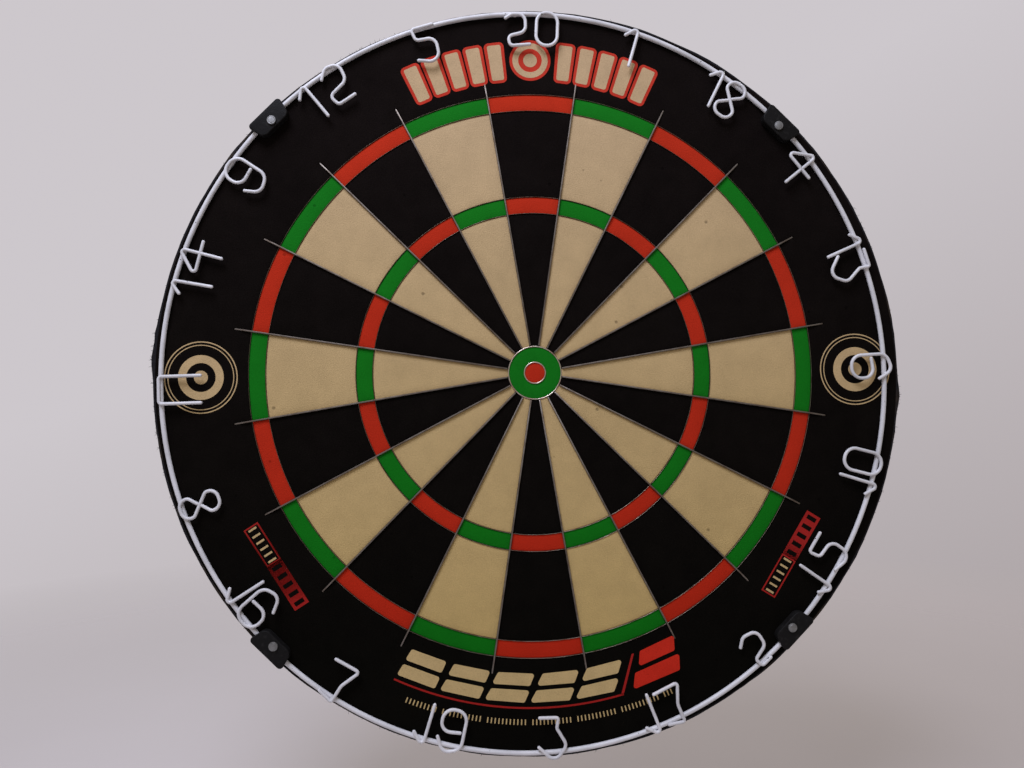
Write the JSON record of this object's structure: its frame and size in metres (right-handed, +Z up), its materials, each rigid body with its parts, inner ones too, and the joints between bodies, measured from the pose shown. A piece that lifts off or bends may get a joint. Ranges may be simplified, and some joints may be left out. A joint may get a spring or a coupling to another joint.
{
  "type": "bristle dartboard",
  "caption": "Round sisal dartboard with steel blade wires, a clipped wire number ring, a steel rim band and levellers, hung by its centre screw in a slotted wall bracket.",
  "frame": {"origin": "where the disc's axis, which is also the hanging screw's axis, meets the wall plane, on the wall bracket's back face; the bull lies 2.7 mm above it and 0.5 mm to the right", "axes": "-Y is the way the target face looks, +Y goes into the wall, +Z is up with the 20 segment at the top, +X is to a player's right"},
  "size_m": [0.451, 0.062, 0.4521],
  "materials": {
    "sisal": "compressed sisal fibre ends, painted in cream, black, red and green",
    "sisal_core": "raw compressed sisal",
    "particle_board": "raw particle board",
    "band_steel": "black painted steel strip",
    "wire_steel": "ground blade edges",
    "ring_paint": "off-white dipped wire, worn at the welds",
    "clip_plastic": "black moulded",
    "pin_steel": "dull grey domed head",
    "bracket_steel": "black pressed sheet",
    "screw_steel": "zinc plated",
    "leveller_plastic": "black moulded"
  },
  "bodies": {
    "bracket": {"wall_bracket": "bracket_steel"},
    "hanger": {"hanging_washer": "screw_steel"},
    "board": {"hanging_screw": "screw_steel", "backing_board": "particle_board", "sisal_rear_core": "sisal_core", "sisal_face": "sisal", "rim_band": "band_steel", "band_seal": "band_steel", "double_outer_ring": "wire_steel", "double_inner_ring": "wire_steel", "treble_outer_ring": "wire_steel", "treble_inner_ring": "wire_steel", "outer_bull_ring": "wire_steel", "bullseye_ring": "wire_steel", "radial_blade_01": "wire_steel", "radial_blade_02": "wire_steel", "radial_blade_03": "wire_steel", "radial_blade_04": "wire_steel", "radial_blade_05": "wire_steel", "radial_blade_06": "wire_steel", "radial_blade_07": "wire_steel", "radial_blade_08": "wire_steel", "radial_blade_09": "wire_steel", "radial_blade_10": "wire_steel", "radial_blade_11": "wire_steel", "radial_blade_12": "wire_steel", "radial_blade_13": "wire_steel", "radial_blade_14": "wire_steel", "radial_blade_15": "wire_steel", "radial_blade_16": "wire_steel", "radial_blade_17": "wire_steel", "radial_blade_18": "wire_steel", "radial_blade_19": "wire_steel", "radial_blade_20": "wire_steel", "number_clip_1": "clip_plastic", "number_clip_2": "clip_plastic", "number_clip_3": "clip_plastic", "number_clip_4": "clip_plastic", "clip_pin_1": "pin_steel", "clip_pin_2": "pin_steel", "clip_pin_3": "pin_steel", "clip_pin_4": "pin_steel", "leveller_housing_1": "leveller_plastic", "leveller_housing_2": "leveller_plastic", "leveller_housing_3": "leveller_plastic", "leveller_screw_1": "screw_steel", "leveller_screw_2": "screw_steel", "leveller_screw_3": "screw_steel", "leveller_screw_4": "screw_steel", "leveller_screw_5": "screw_steel", "leveller_screw_6": "screw_steel"},
    "number_ring": {"number_ring": "ring_paint"},
    "wheel_1": {"leveller_wheel_1": "leveller_plastic"},
    "foot_1": {"leveller_foot_1": "leveller_plastic"},
    "wheel_2": {"leveller_wheel_2": "leveller_plastic"},
    "foot_2": {"leveller_foot_2": "leveller_plastic"},
    "wheel_3": {"leveller_wheel_3": "leveller_plastic"},
    "foot_3": {"leveller_foot_3": "leveller_plastic"}
  },
  "joints": [
    {"name": "board_lift", "type": "slide", "parent": "bracket", "child": "hanger", "axis": [0, 0, 1], "range_m": [0, 0.042]},
    {"name": "board_turn", "type": "hinge", "parent": "hanger", "child": "board", "pos_m": [0, 0, 0], "axis": [0, 1, 0], "continuous": true},
    {"name": "number_ring_turn", "type": "hinge", "parent": "board", "child": "number_ring", "pos_m": [-0.0022, -0.0563, 0], "axis": [0, 1, 0], "range_deg": [-0.4, 3.5]},
    {"name": "leveller_wheel_1_turn", "type": "hinge", "parent": "board", "child": "wheel_1", "pos_m": [0, -0.0115, 0.15], "axis": [0, 1, 0], "range_deg": [0, 500]},
    {"name": "leveller_foot_1_slide", "type": "slide", "parent": "board", "child": "foot_1", "axis": [0, -1, 0], "range_m": [0, 0.0035]},
    {"name": "leveller_wheel_2_turn", "type": "hinge", "parent": "board", "child": "wheel_2", "pos_m": [-0.1299, -0.0115, -0.075], "axis": [0, 1, 0], "range_deg": [0, 500]},
    {"name": "leveller_foot_2_slide", "type": "slide", "parent": "board", "child": "foot_2", "axis": [0, -1, 0], "range_m": [0, 0.0035]},
    {"name": "leveller_wheel_3_turn", "type": "hinge", "parent": "board", "child": "wheel_3", "pos_m": [0.1299, -0.0115, -0.075], "axis": [0, 1, 0], "range_deg": [0, 500]},
    {"name": "leveller_foot_3_slide", "type": "slide", "parent": "board", "child": "foot_3", "axis": [0, -1, 0], "range_m": [0, 0.0035]}
  ],
  "couplings": [
    {"joint": "leveller_foot_1_slide", "follows": "leveller_wheel_1_turn", "m_per_rad": 0.00039789},
    {"joint": "leveller_foot_2_slide", "follows": "leveller_wheel_2_turn", "m_per_rad": 0.00039789},
    {"joint": "leveller_foot_3_slide", "follows": "leveller_wheel_3_turn", "m_per_rad": 0.00039789}
  ]
}
